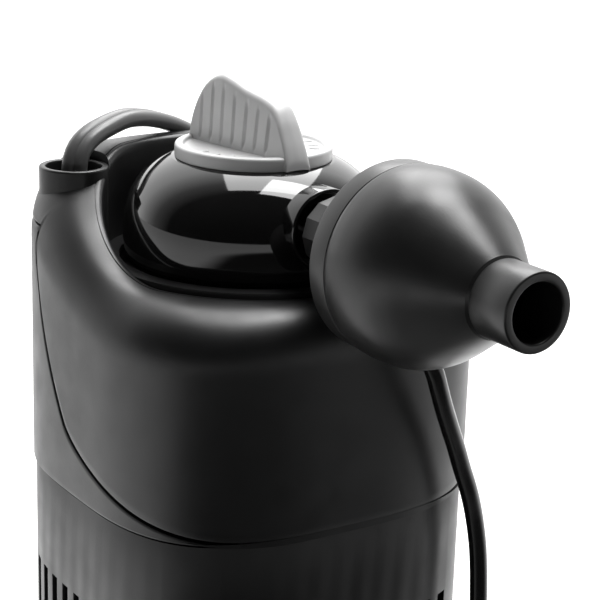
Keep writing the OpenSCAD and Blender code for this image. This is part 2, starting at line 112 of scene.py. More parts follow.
def outline_r(a, inset=0.0):
    """Radius of the body's outline at an angle from the front."""
    across = (abs(math.sin(a)) / BODY_X) ** SQUARENESS + (abs(math.cos(a)) / BODY_Y) ** SQUARENESS
    return across ** (-1 / SQUARENESS) - inset


def from_front(a):
    """The same angle as one from 0 in front to pi at the back, either way round."""
    return abs((a + math.pi) % (2 * math.pi) - math.pi)


def rim_z(a):
    """Height of the rim at an angle from the front."""
    return RIM_FRONT_Z + RIM_RISE * smooth_step((from_front(a) - RIM_LOW) / (RIM_HIGH - RIM_LOW))


def spot(a, r, z):
    """The point at an angle from the front, a radius and a height."""
    return (r * math.sin(a), -r * math.cos(a), z)


def rounded(corners, steps=4, closed=True):
    """Corners (x, y, radius) to points, with an arc in place of each corner that has a radius."""
    points = []
    count = len(corners)
    for i, (x, y, radius) in enumerate(corners):
        here = Vector((x, y))
        back = Vector(corners[i - 1][:2]) - here
        ahead = Vector(corners[(i + 1) % count][:2]) - here
        end = not closed and i in (0, count - 1)
        if end or radius <= 0 or back.length < 1e-6 or ahead.length < 1e-6:
            points.append((x, y))
            continue
        half = back.angle(ahead) / 2
        reach = min(radius / math.tan(half), 0.49 * back.length, 0.49 * ahead.length)
        start, stop = here + back.normalized() * reach, here + ahead.normalized() * reach
        for k in range(steps + 1):
            t = k / steps
            bend = (1 - t) ** 2 * start + 2 * t * (1 - t) * here + t ** 2 * stop
            points.append((bend.x, bend.y))
    return points


def spline(points, per_step=8):
    """A smooth line through the points, with per_step points to each stretch."""
    ends = [2 * Vector(points[0]) - Vector(points[1]), 2 * Vector(points[-1]) - Vector(points[-2])]
    held = [ends[0]] + [Vector(p) for p in points] + [ends[1]]
    line = []
    for i in range(1, len(held) - 2):
        p0, p1, p2, p3 = held[i - 1:i + 3]
        for k in range(per_step):
            t = k / per_step
            line.append(0.5 * (2 * p1 + (p2 - p0) * t + (2 * p0 - 5 * p1 + 4 * p2 - p3) * t * t
                               + (3 * p1 - p0 - 3 * p2 + p3) * t ** 3))
    return line + [held[-2]]


def even(line, step):
    """The same line with its points about one step apart."""
    out, carried = [line[0]], 0.0
    for a, b in zip(line, line[1:]):
        length = (b - a).length
        while length > 0 and carried + length >= step:
            a = a + (b - a) * ((step - carried) / length)
            out.append(a)
            length = (b - a).length
            carried = 0.0
        carried += length
    if (out[-1] - line[-1]).length > step * 0.3:
        out.append(line[-1])
    return out


# ---------------------------------------------------------------- mesh building

def skin(rings, closed_rings=True, joined_ends=False, caps=False):
    """Points and faces over rings that all have the same number of points."""
    n, m = len(rings), len(rings[0])
    faces = []
    for i in range(n if joined_ends else n - 1):
        for j in range(m if closed_rings else m - 1):
            i2, j2 = (i + 1) % n, (j + 1) % m
            faces.append((i * m + j, i * m + j2, i2 * m + j2, i2 * m + j))
    if caps:
        faces += [tuple(range(m - 1, -1, -1)), tuple(range((n - 1) * m, n * m))]
    return [p for ring in rings for p in ring], faces


def lathe(profile, steps=96, centre=(0, 0, 0), along="z", closed=True):
    """A profile of (radius, distance) turned about an axis: z is upwards, y is towards the outlet."""
    rings = []
    for radius, far in profile:
        ring = []
        for k in range(steps):
            a = 2 * math.pi * k / steps
            x, y = radius * math.cos(a), radius * math.sin(a)
            place = (x, y, far) if along == "z" else (x, -far, y)
            ring.append(tuple(c + p for c, p in zip(centre, place)))
        rings.append(ring)
    return skin(rings, joined_ends=closed)


def lathe_solid(profile, centre=(0, 0, 0), along="z", steps=96):
    """A turned solid with a flat cap at each end."""
    points, faces = lathe(profile, steps, centre, along, closed=False)
    last = (len(profile) - 1) * steps
    return points, faces + [tuple(range(steps)), tuple(range(last, last + steps))]


def build(name, parts, bevel=0.0, sharp_angle=38):
    """A mesh object from (points, faces) parts in millimetres, cleaned, with sharp edges marked."""
    points, faces = [], []
    for some_points, some_faces in parts:
        start = len(points)
        points += [tuple(c * MM for c in p) for p in some_points]
        faces += [tuple(start + i for i in face) for face in some_faces]
    mesh = bpy.data.meshes.new(name)
    mesh.from_pydata(points, [], faces)
    bm = bmesh.new()
    bm.from_mesh(mesh)
    bmesh.ops.remove_doubles(bm, verts=bm.verts, dist=1e-6)
    bmesh.ops.dissolve_degenerate(bm, edges=bm.edges, dist=1e-6)
    bmesh.ops.recalc_face_normals(bm, faces=bm.faces)
    if bevel:
        corner = [e for e in bm.edges
                  if e.is_manifold and e.calc_face_angle(0) > math.radians(sharp_angle)]
        bmesh.ops.bevel(bm, geom=corner, offset=bevel * MM, segments=2, profile=0.5,
                        affect="EDGES", clamp_overlap=True)
    bm.to_mesh(mesh)
    bm.free()
    mesh.shade_smooth()
    mesh.set_sharp_from_angle(angle=math.radians(sharp_angle))
    piece = bpy.data.objects.new(name, mesh)
    bpy.context.scene.collection.objects.link(piece)
    return piece


def carve(piece, tool, how="DIFFERENCE", sharp_angle=38):
    """Cuts a tool out of a piece, or joins it on, and removes the tool."""
    step = piece.modifiers.new("carve", "BOOLEAN")
    step.object, step.operation, step.solver = tool, how, "EXACT"
    shaped = bpy.data.meshes.new_from_object(piece.evaluated_get(bpy.context.evaluated_depsgraph_get()))
    piece.modifiers.clear()
    piece.data = shaped
    shaped.name = piece.name
    bpy.data.objects.remove(tool)
    shaped.shade_smooth()
    shaped.set_sharp_from_angle(angle=math.radians(sharp_angle))


def place(piece, body, material, slot, *stands_for):
    """Gives a piece its material and its body, and hides the CAD nodes that it stands for."""
    piece.data.materials.clear()
    piece.data.materials.append(material)
    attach(piece, body)
    if stands_for:
        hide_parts(*stands_for)
    return piece


# ---------------------------------------------------------------- materials

def new_material(name):
    """An empty material, with its node tree and its main shader."""
    material = bpy.data.materials.new(name)
    material.use_nodes = True
    tree = material.node_tree
    return material, tree, tree.nodes["Principled BSDF"]


def noise_node(tree, scale, detail=4.0, stretch=(1, 1, 1)):
    """Noise in the object's own metres; scale is in features a metre."""
    where = tree.nodes.new("ShaderNodeTexCoord")
    mapping = tree.nodes.new("ShaderNodeMapping")
    mapping.inputs["Scale"].default_value = stretch
    grain = tree.nodes.new("ShaderNodeTexNoise")
    grain.inputs["Scale"].default_value = scale
    grain.inputs["Detail"].default_value = detail
    tree.links.new(where.outputs["Object"], mapping.inputs["Vector"])
    tree.links.new(mapping.outputs["Vector"], grain.inputs["Vector"])
    return grain


def spread(tree, source, low, high):
    """Maps noise from its usual range to one from low to high."""
    ranged = tree.nodes.new("ShaderNodeMapRange")
    ranged.inputs["From Min"].default_value = 0.3
    ranged.inputs["From Max"].default_value = 0.7
    ranged.inputs["To Min"].default_value = low
    ranged.inputs["To Max"].default_value = high
    tree.links.new(source.outputs["Fac"], ranged.inputs["Value"])
    return ranged


def tint(tree, bsdf, source, low, high):
    """Base colour that drifts between two colours with a noise."""
    ramp = tree.nodes.new("ShaderNodeValToRGB")
    ramp.color_ramp.elements[0].position = 0.3
    ramp.color_ramp.elements[1].position = 0.7
    ramp.color_ramp.elements[0].color = (*low, 1)
    ramp.color_ramp.elements[1].color = (*high, 1)
    tree.links.new(source.outputs["Fac"], ramp.inputs["Fac"])
    tree.links.new(ramp.outputs["Color"], bsdf.inputs["Base Color"])


def bump(tree, bsdf, source, strength, height, output="Fac"):
    """A fine relief from a texture, with its height in millimetres."""
    node = tree.nodes.new("ShaderNodeBump")
    node.inputs["Strength"].default_value = strength
    node.inputs["Distance"].default_value = height * MM
    tree.links.new(source.outputs[output], node.inputs["Height"])
    tree.links.new(node.outputs["Normal"], bsdf.inputs["Normal"])


def plastic(name, low, high, rough, grain=2200, grain_strength=0.25, coat=0.0):
    """Moulded plastic: drifting colour and gloss, and a fine skin left by the mould."""
    material, tree, bsdf = new_material(name)
    tint(tree, bsdf, noise_node(tree, 45, 5), low, high)
    tree.links.new(spread(tree, noise_node(tree, 160, 6), *rough).outputs["Result"],
                   bsdf.inputs["Roughness"])
    bump(tree, bsdf, noise_node(tree, grain, 3), grain_strength, 0.03)
    bsdf.inputs["Coat Weight"].default_value = coat
    bsdf.inputs["Coat Roughness"].default_value = 0.05
    return material


def metal(name, low, high, rough, stretch=(1, 1, 14)):
    """Metal with fine drawn lines along one axis."""
    material, tree, bsdf = new_material(name)
    lines = noise_node(tree, 420, 4, stretch)
    tint(tree, bsdf, lines, low, high)
    tree.links.new(spread(tree, lines, *rough).outputs["Result"], bsdf.inputs["Roughness"])
    bump(tree, bsdf, lines, 0.15, 0.02)
    bsdf.inputs["Metallic"].default_value = 1.0
    return material


def foam_material():
    """Open-cell foam: the cells' hollows are painted dark as shade, between lighter strands."""
    material, tree, bsdf = new_material("filter_foam")
    where = tree.nodes.new("ShaderNodeTexCoord")
    cells = tree.nodes.new("ShaderNodeTexVoronoi")
    cells.inputs["Scale"].default_value = 620
    tree.links.new(where.outputs["Object"], cells.inputs["Vector"])
    # Painted shade: the ramp darkens each cell's middle, where the bump sinks, while the strands keep the
    # foam's own blue-black.
    ramp = tree.nodes.new("ShaderNodeValToRGB")
    ramp.color_ramp.elements[0].color = (0.004, 0.005, 0.008, 1)
    ramp.color_ramp.elements[1].color = (0.035, 0.045, 0.08, 1)
    ramp.color_ramp.elements[1].position = 0.75
    tree.links.new(cells.outputs["Distance"], ramp.inputs["Fac"])
    tree.links.new(ramp.outputs["Color"], bsdf.inputs["Base Color"])
    bump(tree, bsdf, cells, 0.9, 0.6, output="Distance")
    bsdf.inputs["Roughness"].default_value = 0.9
    return material


def winding_material():
    """Enamelled copper wire, wound side by side, with the grooves between turns painted darker as shade and
    the crowns painted lighter.
    """
    material, tree, bsdf = new_material("copper_winding")
    where = tree.nodes.new("ShaderNodeTexCoord")
    wires = tree.nodes.new("ShaderNodeTexWave")
    wires.bands_direction = "Z"
    wires.inputs["Scale"].default_value = 900
    tree.links.new(where.outputs["Object"], wires.inputs["Vector"])
    # Painted shade and lightening: the bands that raise the bump also paint the grooves between turns dark
    # and the wire crowns light.
    tint(tree, bsdf, wires, (0.36, 0.13, 0.05), (0.75, 0.34, 0.16))
    bump(tree, bsdf, wires, 0.6, 0.15)
    bsdf.inputs["Metallic"].default_value = 0.9
    bsdf.inputs["Roughness"].default_value = 0.3
    return material


def cup_material():
    """Clear soft rubber for the suction cups."""
    material, tree, bsdf = new_material("clear_rubber")
    tint(tree, bsdf, noise_node(tree, 120, 3), (0.86, 0.89, 0.89), (0.93, 0.95, 0.95))
    tree.links.new(spread(tree, noise_node(tree, 60, 2), 0.04, 0.1).outputs["Result"],
                   bsdf.inputs["Roughness"])
    bsdf.inputs["Transmission Weight"].default_value = 0.95
    bsdf.inputs["IOR"].default_value = 1.42
    return material


CASING = plastic("satin_black_casing", (0.005, 0.005, 0.0053), (0.008, 0.008, 0.0083), (0.34, 0.43))
DOME = plastic("gloss_black_dome", (0.004, 0.004, 0.004), (0.007, 0.007, 0.007), (0.035, 0.08),
               grain=500, grain_strength=0.04, coat=0.3)
DIFFUSER = plastic("satin_black_diffuser", (0.013, 0.013, 0.013), (0.018, 0.018, 0.018), (0.30, 0.38))
COLLAR = plastic("speckled_black_collar", (0.006, 0.006, 0.006), (0.018, 0.018, 0.018), (0.30, 0.5),
                 grain=1300, grain_strength=0.6)
KNOB = plastic("pale_grey_knob", (0.60, 0.60, 0.60), (0.66, 0.66, 0.66), (0.30, 0.42),
               grain=1800, grain_strength=0.15)
INNER = plastic("dark_inner_plastic", (0.03, 0.03, 0.032), (0.045, 0.045, 0.048), (0.4, 0.55))
RUBBER = plastic("black_rubber", (0.012, 0.012, 0.012), (0.02, 0.02, 0.02), (0.5, 0.7), grain_strength=0.4)
FLEX = plastic("satin_black_flex", (0.10, 0.10, 0.10), (0.13, 0.13, 0.13), (0.30, 0.40),
               grain=1500, grain_strength=0.2)
HOSE = plastic("gloss_black_hose", (0.006, 0.006, 0.006), (0.010, 0.010, 0.010), (0.12, 0.22),
               grain=900, grain_strength=0.08)
CERAMIC = plastic("white_ceramic", (0.78, 0.76, 0.70), (0.86, 0.84, 0.79), (0.12, 0.22), coat=0.3)
MAGNET = plastic("coated_magnet", (0.05, 0.05, 0.055), (0.08, 0.08, 0.085), (0.35, 0.5))
STEEL = metal("laminated_steel", (0.42, 0.42, 0.44), (0.62, 0.62, 0.64), (0.25, 0.45))
PINS = metal("nickel_pins", (0.68, 0.67, 0.65), (0.80, 0.79, 0.77), (0.12, 0.25), (1, 1, 1))
FOAM = foam_material()
COPPER = winding_material()
CLEAR = cup_material()


# ---------------------------------------------------------------- camera

CAMERA_AT = (-183.6, -293.6, OUTLET_Z + 81.7)
CAMERA_HEADING = math.radians(33.67)
CAMERA_PITCH = math.radians(16.4)
CAMERA_ROLL = math.radians(1.81)
SENSOR_WIDTH, FOCAL_LENGTH = 36, 108


def make_camera():
    """The camera, where the photograph was taken from."""
    ahead = Vector((math.sin(CAMERA_HEADING) * math.cos(CAMERA_PITCH),
                    math.cos(CAMERA_HEADING) * math.cos(CAMERA_PITCH), -math.sin(CAMERA_PITCH)))
    level = ahead.cross(Vector((0, 0, 1))).normalized()
    upright = level.cross(ahead)
    right = level * math.cos(CAMERA_ROLL) + upright * math.sin(CAMERA_ROLL)
    up = right.cross(ahead)
    data = bpy.data.cameras.new("camera")
    data.sensor_width, data.lens = SENSOR_WIDTH, FOCAL_LENGTH
    data.clip_start, data.clip_end = 0.01, 50
    camera = bpy.data.objects.new("camera", data)
    camera.matrix_world = Matrix.Translation(Vector(CAMERA_AT) * MM) @ Matrix(
        (right, up, -ahead)).transposed().to_4x4()
    bpy.context.scene.collection.objects.link(camera)
    bpy.context.scene.camera = camera


# ---------------------------------------------------------------- cords

# The same routes as the CAD's cords. A coil's turns come between its route and its tail.
FLEX_ROUTE = [(-27.3, 23.7, 169), (-27.2, 23.7, 176), (-26.1, 24.1, 179.6), (-23.1, 25.3, 182),
              (-18.5, 27.2, 183.4), (-13, 29.6, 184.2), (-7.6, 32.2, 183.6), (-2.2, 34.8, 182.2),
              (3.2, 37.2, 180.2), (8.4, 39.2, 177.6), (13.8, 40.3, 173.8), (19.4, 40.6, 168.6),
              (24.6, 40.5, 162.2), (28.4, 40.3, 154.4), (30.8, 39.8, 145.4), (31.8, 39.1, 136),
              (32, 38.5, 126), (32, 38.4, 114), (32, 38.4, 102), (32, 38.4, 90), (32, 38.6, 78),
              (32, 38.8, 66), (32, 39.2, 54), (31.8, 39.8, 42), (31, 40.6, 31), (28.8, 41.8, 21),
              (24.8, 43.2, 12.8), (19.2, 44.6, 6.8), (12.6, 45.6, 3.4), (5.4, 46.2, 2)]
FLEX_COIL_AT = (-2, 80)
FLEX_TAIL = [(18, 106.4, 12.4), (29, 101.6, 11.6), (38.6, 95, 9.4), (46.4, 86.8, 7.4), (51.6, 78.4, 6.6),
             (53.6, 71, 6.8), (54, 64, 6.9)]
HOSE_ROUTE = [(0, -42.3, 163), (1.2, -42.8, 160.2), (3.8, -43.7, 157.6), (7, -44.4, 155),
              (9.8, -45.2, 151.8), (12, -45.4, 148), (13.8, -44.9, 144), (15.8, -44.1, 139.8),
              (18.2, -43.2, 135.2), (20.8, -42.2, 130.4), (23.2, -41.4, 125.4), (25.8, -40.8, 119.8),
              (28.2, -40, 113.6), (30, -39.6, 106), (31, -39.4, 97), (31.4, -39.4, 87),
              (31.6, -39.6, 77), (31.8, -39.8, 67), (32, -40.2, 57), (32.2, -40.8, 47),
              (32.8, -41.8, 37), (34, -43.4, 27.8), (35.8, -46, 19.4), (37.6, -49.8, 11.8),
              (39, -54.8, 6), (39.5, -61, 2.8)]
HOSE_COIL_AT = (18, -67)
HOSE_TAIL = [(6.8, -85.9, 5.5), (2.6, -84.4, 5.2), (-1.6, -82.9, 4.4), (-5.8, -81.4, 3.7),
             (-10, -79.9, 3.6)]
COIL_STEPS = 24
COIL_FLOOR_Z = 1.9


def coil_point(centre, start_angle, turns, radius, z):
    """A point on a coil that is wound clockwise, seen from above."""
    a = start_angle - 2 * math.pi * turns
    return Vector((centre[0] + radius * math.cos(a), centre[1] + radius * math.sin(a), z))


def flex_coil():
    """Flat twin flex wound in three rows: inwards, outwards and inwards again, then out over the top."""
    outer, pitch, row, turns, last_inwards = 33.7, 5.1, 3.5, 5.54, 4.6
    points = []
    for k in range(int(turns * COIL_STEPS) + 1):
        t = k / COIL_STEPS
        wound = min(t, last_inwards)
        radius = outer - pitch * (wound if wound <= 2 else abs(4 - wound))
        level = sum(smooth_step((t - switch + 0.08) / 0.16) for switch in (2, 4))
        level += smooth_step((t - 4.75) / 0.4)
        points.append(coil_point(FLEX_COIL_AT, -math.pi / 2, t, radius, COIL_FLOOR_Z + row * level))
    return points


def hose_coil():
    """Hose wound in two rows of two: round outside, in, up, and out again."""
    outer, inner, row, turns = 21.6, 18.0, 3.6, 3.3
    points = []
    for k in range(int(turns * COIL_STEPS) + 1):
        t = k / COIL_STEPS
        radius = outer - (outer - inner) * smooth_step((t - 0.9) / 0.1)
        radius += (outer - inner) * smooth_step((t - 2.9) / 0.1)
        level = smooth_step((t - 1.78) / 0.12)
        points.append(coil_point(HOSE_COIL_AT, 0, t, radius, COIL_FLOOR_Z + row * level))
    return points


def carried_sides(line, first, settle):
    """Side directions carried along a line, which turn slowly until the width lies level."""
    sides = []
    side = first
    for i in range(len(line)):
        ahead = (line[min(i + 1, len(line) - 1)] - line[max(i - 1, 0)]).normalized()
        level = ahead.cross(Vector((0, 0, 1)))
        if level.dot(side) < 0:
            level = -level
        side = side + level * settle
        side = (side - ahead * side.dot(ahead)).normalized()
        sides.append(side)
    return sides


def sweep(line, section, first, settle=0.0):
    """A section swept along a line. first is the direction of its width at the start."""
    rings = []
    sides = carried_sides(line, first, settle)
    for i, here in enumerate(line):
        ahead = (line[min(i + 1, len(line) - 1)] - line[max(i - 1, 0)]).normalized()
        normal = ahead.cross(sides[i])
        rings.append([tuple(here + sides[i] * x + normal * y) for x, y in section])
    return skin(rings, caps=True)


def twin_section():
    """Two round lobes side by side, with a shallow groove between them."""
    lobe = FLEX_THICK / 2
    centre = FLEX_WIDTH / 2 - lobe
    groove = math.acos(centre / lobe) * 0.82
    angles = [groove - math.pi + (math.pi - groove) * 2 * k / 12 for k in range(13)]
    right = [(centre + lobe * math.cos(a), lobe * math.sin(a)) for a in angles]
    return right + [(-x, -y) for x, y in right]


def round_section(diameter, sides=20):
    """Points round a circle, as a cord's section."""
    turn = 2 * math.pi / sides
    return [(diameter / 2 * math.cos(k * turn), diameter / 2 * math.sin(k * turn)) for k in range(sides)]


def make_flex():
    """The supply flex: out of its collar, over the rear rim, down the back, and wound to its plug."""
    line = even(spline(FLEX_ROUTE + flex_coil() + FLEX_TAIL), 1.3)
    leaving = Vector((math.cos(CAMERA_HEADING), -math.sin(CAMERA_HEADING), 0))
    piece = build("flat_supply_flex", [sweep(line, twin_section(), leaving, 0.08)], sharp_angle=60)
    place(piece, "head", FLEX, "flex", "supply_flex", "supply_flex_coil", "supply_flex_tail")
    return piece, line


def make_hose():
    """The air hose: from the nipple under the outlet, down in front, to a small coil and its cap."""
    line = even(spline(HOSE_ROUTE + hose_coil() + HOSE_TAIL), 1.0)
    piece = build("air_hose_run", [sweep(line, round_section(HOSE_D), Vector((1, 0, 0)))], sharp_angle=60)
    place(piece, "diffuser", HOSE, "hose", "air_hose", "air_hose_coil", "air_hose_tail")
    return piece, line


# ---------------------------------------------------------------- head casings

# The shoulder's curve: a lower power is fuller, and it changes at an angle from the front
FRONT_FLAT, REAR_FLAT = 0.8, 0.48
FLAT_FROM, FLAT_OVER = 1.9, 0.6
CLIMB_POWER = 0.9
# The rim's top, from its crest inwards, as a radius and a drop: a fine groove, then a soft edge
RIM_SECTION = [(31.08, 0.01), (31.04, 0.22), (30.84, 0.24), (30.8, 0.03), (30.4, 0.05),
               (29.95, 0.18), (29.6, 0.55), (29.38, 1.2), (PIT_R, 2)]


def shell_point(a, q, inset=0.0):
    """Radius and height on the casing: q climbs the wall from 0 to 1 and goes over the shoulder to 2."""
    crest = CREST_R + (0.3 if inset else 0)
    wall, foot = outline_r(a, inset), rim_z(a) - SHOULDER_H - inset
    if q < 1:
        return wall, SPLIT_Z + (foot - SPLIT_Z) * q
    u = (q - 1) * math.pi / 2
    flat = FRONT_FLAT + (REAR_FLAT - FRONT_FLAT) * smooth_step((from_front(a) - FLAT_FROM) / FLAT_OVER)
    climb = SHOULDER_H - 0.6 if inset else SHOULDER_H
    return crest + (wall - crest) * max(0.0, math.cos(u)) ** flat, foot + climb * math.sin(u) ** CLIMB_POWER


def climb_to(a, z):
    """The q at which the casing's outside reaches a height."""
    foot = rim_z(a) - SHOULDER_H
    if z <= foot:
        return (z - SPLIT_Z) / (foot - SPLIT_Z)
    return 1 + math.asin(min(1.0, ((z - foot) / SHOULDER_H) ** (1 / CLIMB_POWER))) * 2 / math.pi


def seam_forward(drop):
    """How far forward the seam has swept after a drop from its upper end."""
    return 0.1 * drop + 0.0085 * drop ** 2 + 0.16 * max(0.0, drop - SEAM_FOOT) ** 2


def seam_height(a, shift=0.0):
    """Height of the seam between the two casings at an angle from the front."""
    back = SEAM_Y + shift + outline_r(a) * math.cos(a)
    low, high = 0.0, SEAM_Z - SPLIT_Z
    for _ in range(30):
        middle = (low + high) / 2
        if seam_forward(middle) < back:
            low = middle
        else:
            high = middle
    return SEAM_Z - shift - low


def hood_section(a):
    """One upright slice of the hood: seam edge, wall, shoulder, the rim's groove, pit and inside."""
    edge_z = seam_height(a)
    start = climb_to(a, edge_z)
    lifted = climb_to(a, edge_z + 0.5)
    foot_r = shell_point(a, start)[0]
    section = [(foot_r - 0.55, edge_z), (foot_r - 0.16, edge_z + 0.12)]
    rows = 44
    section += [shell_point(a, lifted + (2 - lifted) * k / rows) for k in range(rows + 1)]
    top = rim_z(a)
    section += [(r, top - drop) for r, drop in RIM_SECTION]
    section += [(PIT_R, (top + PIT_FLOOR_Z) / 2), (PIT_R, PIT_FLOOR_Z), (CREST_R, PIT_FLOOR_Z)]
    for k in range(9):
        r, z = shell_point(a, 2 - (2 - start) * k / 8, WALL)
        section.append((r, max(z, edge_z)))
    section[-1] = (min(section[-1][0], foot_r - WALL), edge_z)
    return [spot(a, r, z) for r, z in section]


def rear_section(a):
    """One upright slice of the rear casing: outside from the split to the seam, then the inside."""
    edge_z = seam_height(a, SEAM_GAP)
    stop = climb_to(a, edge_z - 0.5)
    top_r = shell_point(a, climb_to(a, edge_z))[0]
    rows = 20
    section = [(outline_r(a, 0.4), SPLIT_Z), (outline_r(a, 0.1), SPLIT_Z + 0.1)]
    section += [shell_point(a, 0.012 + (stop - 0.012) * k / rows) for k in range(rows + 1)]
    section += [(top_r - 0.16, edge_z - 0.12), (top_r - 0.55, edge_z), (top_r - WALL, edge_z),
                (outline_r(a, WALL), min(edge_z, rim_z(a) - SHOULDER_H) - 0.6),
                (outline_r(a, WALL), SPLIT_Z)]
    return [spot(a, r, z) for r, z in section]


def collar_drill():
    """A round tool the size of the hole that the collar stands in."""
    profile = [(COLLAR_R + 0.04, 145), (COLLAR_R + 0.04, 205)]
    return build("drill", [lathe_solid(profile, (*COLLAR_AT, 0))])


def make_casing(name, section, node):
    """A casing from its slices all round, drilled for the collar."""
    columns, sharp = 288, 42
    rings = [section(2 * math.pi * k / columns) for k in range(columns)]
    casing = build(name, [skin(rings, joined_ends=True)], sharp_angle=sharp)
    carve(casing, collar_drill(), sharp_angle=sharp)
    place(casing, "head", CASING, "casing", node)


def make_collar():
    """The upright tube that the flex comes out of, with softened edges."""
    low, high = COLLAR_Z
    bore = COLLAR_R - 1.3
    profile = rounded([(bore, low, 0), (COLLAR_R, low, 0.3), (COLLAR_R, high, 0.45), (bore, high, 0.45)])
    collar = build("cable_collar_tube", [lathe(profile, 96, (*COLLAR_AT, 0))])
    place(collar, "head", COLLAR, "collar", "cable_collar")


# ---------------------------------------------------------------- dome and outlet

def dome_at(z, shrink=0.0):
    """Radius of the dome at a height, or of its inside when it is shrunk by its wall."""
    t = min(1.0, abs(z - DOME_MID_Z) / (DOME_H - shrink))
    return (DOME_R - shrink) * (1 - t ** DOME_POWER) ** (1 / DOME_POWER)


def make_dome():
    """The swivelling dome: flange, shell, the stem's hole at its top and the outlet's boss."""
    flange_r, flange_top, seal_r, wall = 27.6, DOME_BASE_Z + 1.5, 23.1, 1.9
    stem_r, boss_r, boss_end, bore_r = 4.2, 7.8, 26.6, 5.25
    top, foot = DISC_Z + 0.3, DOME_BASE_Z + 2.2
    rows = 64
    heights = [foot + (top - foot) * math.sin(math.pi / 2 * k / rows) for k in range(rows + 1)]
    outer = [(dome_at(z), z) for z in heights]
    inner_top, inner_foot, inner_rows = top - wall, DOME_BASE_Z + 3.4, 20
    inner = [(min(dome_at(z, wall), seal_r), z)
             for z in (inner_top + (inner_foot - inner_top) * k / inner_rows for k in range(inner_rows + 1))]
    flange = rounded([(seal_r, DOME_BASE_Z, 0), (flange_r, DOME_BASE_Z, 0.3), (flange_r, flange_top, 0.35),
                      (dome_at(foot) + 0.7, flange_top, 0)], closed=False)
    profile = flange + outer + [(stem_r, top), (stem_r, inner_top)] + inner
    dome = build("dome_shell", [lathe(profile, 160)], sharp_angle=50)
    boss_profile = rounded([(boss_r, 22.5, 0), (boss_r, boss_end, 0.4), (boss_r - 0.7, boss_end, 0.25),
                            (boss_r - 0.8, boss_end - 1.4, 0)], closed=False)
    boss = build("boss", [lathe_solid(boss_profile, (0, 0, OUTLET_Z), "y")])
    carve(dome, boss, "UNION", sharp_angle=50)
    bore = build("bore", [lathe_solid([(bore_r, 12), (bore_r, 30)], (0, 0, OUTLET_Z), "y")])
    carve(dome, bore, sharp_angle=50)
    place(dome, "swivel", DOME, "dome", "swivel_dome")


def make_diffuser_rear():
    """Back plate with its skirt, and the faceted socket that pushes over the outlet tube."""
    plate, within = 1.6, DIFFUSER_R - DIFFUSER_WALL
    mouth, part, sunk = -SOCKET_Y, -PART_Y - 0.02, DIFFUSER_BACK + 0.3
    profile = rounded([(SOCKET_BORE_R, DIFFUSER_BACK, 0), (DIFFUSER_R, DIFFUSER_BACK, 0.9),
                       (DIFFUSER_R, part, 0.25), (within, part, 0), (within, DIFFUSER_BACK + plate, 0.3),
                       (SOCKET_BORE_R, DIFFUSER_BACK + plate, 0)])
    shell = lathe(profile, 128, (0, 0, OUTLET_Z), "y")
    socket_r, facets, soft, chamfer = 6.9, 12, 0.3, 0.35
    rings = []
    for far, inset in ((mouth, chamfer), (mouth + chamfer, 0), (sunk, 0)):
        ring = []
        for k in range(facets):
            for turn in (-soft / 2, 0, soft / 2):
                a = 2 * math.pi * (k + turn / 3) / facets
                r = socket_r - inset - (0.08 if turn else 0.02)
                ring.append((r * math.cos(a), -far, OUTLET_Z + r * math.sin(a)))
        rings.append(ring)
    angles = [2 * math.pi * k / len(rings[0]) for k in range(len(rings[0]))]
    rings += [[(SOCKET_BORE_R * math.cos(a), -far, OUTLET_Z + SOCKET_BORE_R * math.sin(a)) for a in angles]
              for far in (sunk, mouth)]
    piece = build("diffuser_rear_shell", [shell, skin(rings, joined_ends=True)], sharp_angle=20)
    place(piece, "diffuser", DIFFUSER, "diffuser", "diffuser_back")


# The cone's outside, as a distance past the parting line and a radius
CONE_CURVE = [(0, 17.5), (3.5, 17.75), (7.5, 17.5), (11, 16.6), (14.5, 14.9), (18, 12.6), (21.5, 10.2),
              (24.2, 8.3), (25.7, 7.2)]


def make_diffuser_cone():
    """The bell in front of the parting line, and the spigot at its end."""
    part, tip = -PART_Y, -TIP_Y
    curve = [(p.y, p.x) for p in spline([Vector((far, r, 0)) for far, r in CONE_CURVE], 6)]
    outer = [(r, part + far) for r, far in curve]
    outer[0] = (outer[0][0] - 0.2, outer[0][1])
    neck = outer[-1][1]
    end = rounded([(SPIGOT_R + 0.25, neck, 0), (SPIGOT_R - 0.18, neck + 0.35, 0), (SPIGOT_R, neck + 0.7, 0),
                   (SPIGOT_R, tip, 0.4), (SPIGOT_BORE_R, tip, 0.35), (SPIGOT_BORE_R, neck, 0)], closed=False)
    inner = [(max(SPIGOT_BORE_R, r - DIFFUSER_WALL), part + max(0.0, far - 0.3))
             for r, far in reversed(curve)]
    shell = lathe(outer + end + inner, 128, (0, 0, OUTLET_Z), "y")
    piece = build("diffuser_cone_shell", [shell], sharp_angle=30)
    place(piece, "diffuser", DIFFUSER, "diffuser", "diffuser_cone")


# ---------------------------------------------------------------- knob

# The grip seen from the side, as y and height over the outlet's axis, from its nose to its back
GRIP_SIDE = [(-16.1, 9.1), (-15.9, 10.8), (-15, 13), (-13.7, 15.4), (-12.1, 18), (-9.9, 20.3),
             (-6.8, 21.6), (-2, 22.7), (1.8, 24), (5.2, 24.6), (8.5, 23), (10.9, 19.8), (12.3, 16),
             (12.8, 12.4), (12.7, 9.3)]
GRIP_LOW = 9.1
GRIP_TALL = 14
GRIP_REAR_HALF, GRIP_FRONT_HALF = 7.4, 2.7
REAR_TAPER, FRONT_TAPER = 0.12, 0.5
GROOVES, LAST_GROOVE_Y = 7, 9.6
GROOVE_STEP, GROOVE_DEPTH, GROOVE_HALF = 3.2, 0.55, 0.42


def grip_half(y):
    """Half the grip's width at its foot, which grows from the nose to the back."""
    return GRIP_FRONT_HALF + (GRIP_REAR_HALF - GRIP_FRONT_HALF) * (y + 16) / 29


def grip_taper(y):
    """How much narrower the grip's top is than its foot, as a share."""
    return FRONT_TAPER + (REAR_TAPER - FRONT_TAPER) * smooth_step((y + 14) / 18)


